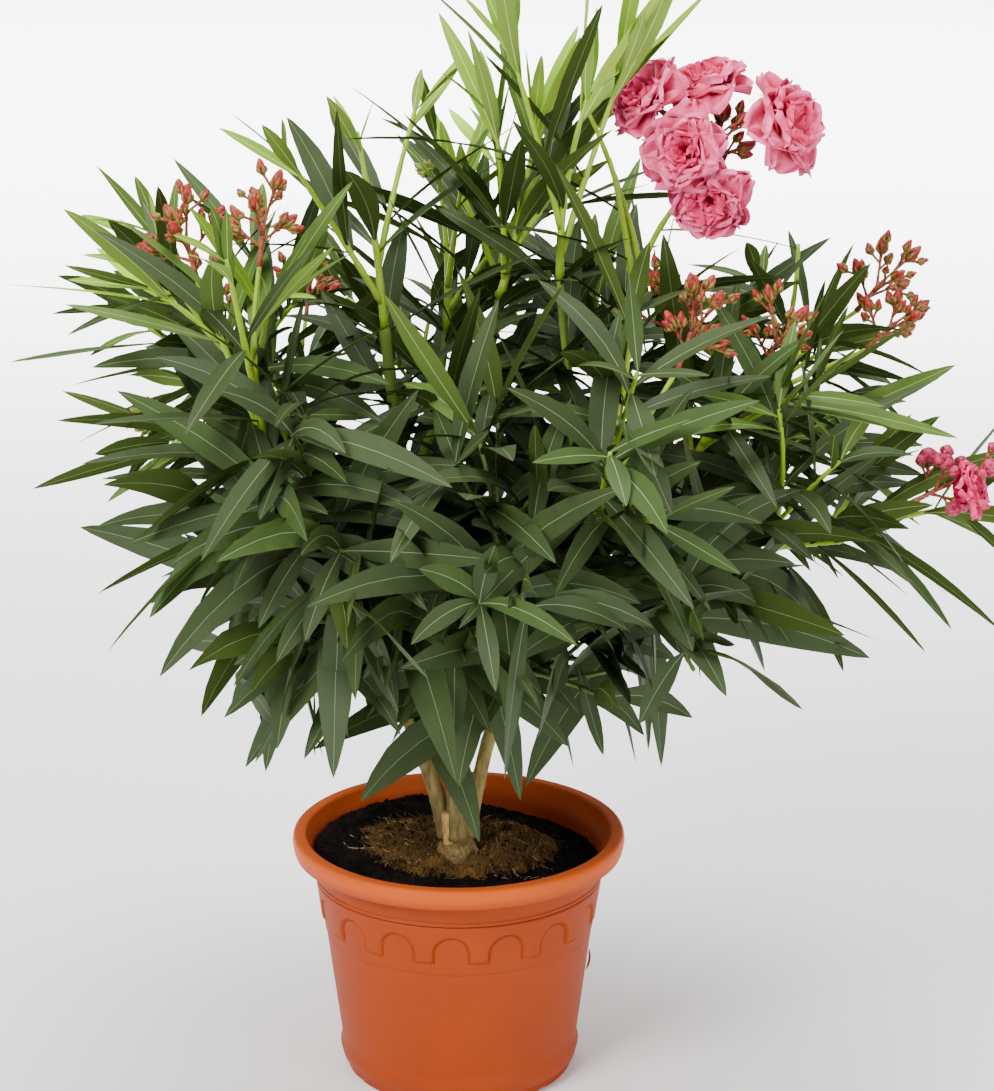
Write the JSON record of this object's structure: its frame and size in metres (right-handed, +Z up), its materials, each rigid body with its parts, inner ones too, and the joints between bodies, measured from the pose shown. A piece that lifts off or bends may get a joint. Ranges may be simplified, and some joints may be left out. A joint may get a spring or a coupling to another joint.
{
  "type": "potted oleander",
  "caption": "Young multi-stemmed oleander bush with narrow whorled leaves, double pink blossom and bud clusters, standing in a round flared pot of soil.",
  "frame": {"origin": "centre of the pot's flat underside", "axes": "+Z up along the stump; -Y towards the bush's front, +X to its right seen from the front"},
  "size_m": [0.8028, 0.6703, 0.8665],
  "materials": {
    "terracotta_plastic": "moulded, satin, terracotta coloured",
    "potting_soil": "loose, damp, matt",
    "stump_bark": "rough young bark",
    "stem_bark": "smooth olive bark with leaf scars",
    "foliage": "leathery, waxy sheen",
    "flowering_foliage": "leathery, waxy sheen, with blossom and buds"
  },
  "bodies": {
    "root": {"pot": "terracotta_plastic", "soil": "potting_soil", "trunk": "stump_bark", "left_stem": "stem_bark", "middle_stem": "stem_bark", "right_stem": "stem_bark", "back_stem": "stem_bark", "outer_bough": "stem_bark", "left_front_bough": "stem_bark", "left_back_bough": "stem_bark", "left_low_bough": "stem_bark", "inner_low_bough": "stem_bark", "left_under_bough": "stem_bark", "front_bough": "stem_bark", "back_centre_bough": "stem_bark", "top_bough": "stem_bark", "top_right_bough": "stem_bark", "front_right_bough": "stem_bark", "front_low_bough": "stem_bark", "right_back_bough": "stem_bark", "right_upper_bough": "stem_bark", "right_middle_bough": "stem_bark", "right_low_bough": "stem_bark", "back_left_bough": "stem_bark", "back_right_bough": "stem_bark", "back_low_bough": "stem_bark", "back_under_bough": "stem_bark", "back_top_bough": "stem_bark", "left_foliage": "foliage", "middle_foliage": "foliage", "right_foliage": "flowering_foliage", "back_foliage": "foliage", "outer_foliage": "flowering_foliage", "left_front_foliage": "flowering_foliage", "left_back_foliage": "flowering_foliage", "left_low_foliage": "foliage", "inner_low_foliage": "foliage", "left_under_foliage": "foliage", "front_foliage": "foliage", "back_centre_foliage": "flowering_foliage", "top_foliage": "foliage", "top_right_foliage": "foliage", "front_right_foliage": "flowering_foliage", "front_low_foliage": "foliage", "right_back_foliage": "flowering_foliage", "right_upper_foliage": "flowering_foliage", "right_middle_foliage": "flowering_foliage", "right_low_foliage": "foliage", "back_left_foliage": "flowering_foliage", "back_right_foliage": "foliage", "back_low_foliage": "foliage", "back_under_foliage": "foliage", "back_top_foliage": "foliage"}
  },
  "joints": []
}
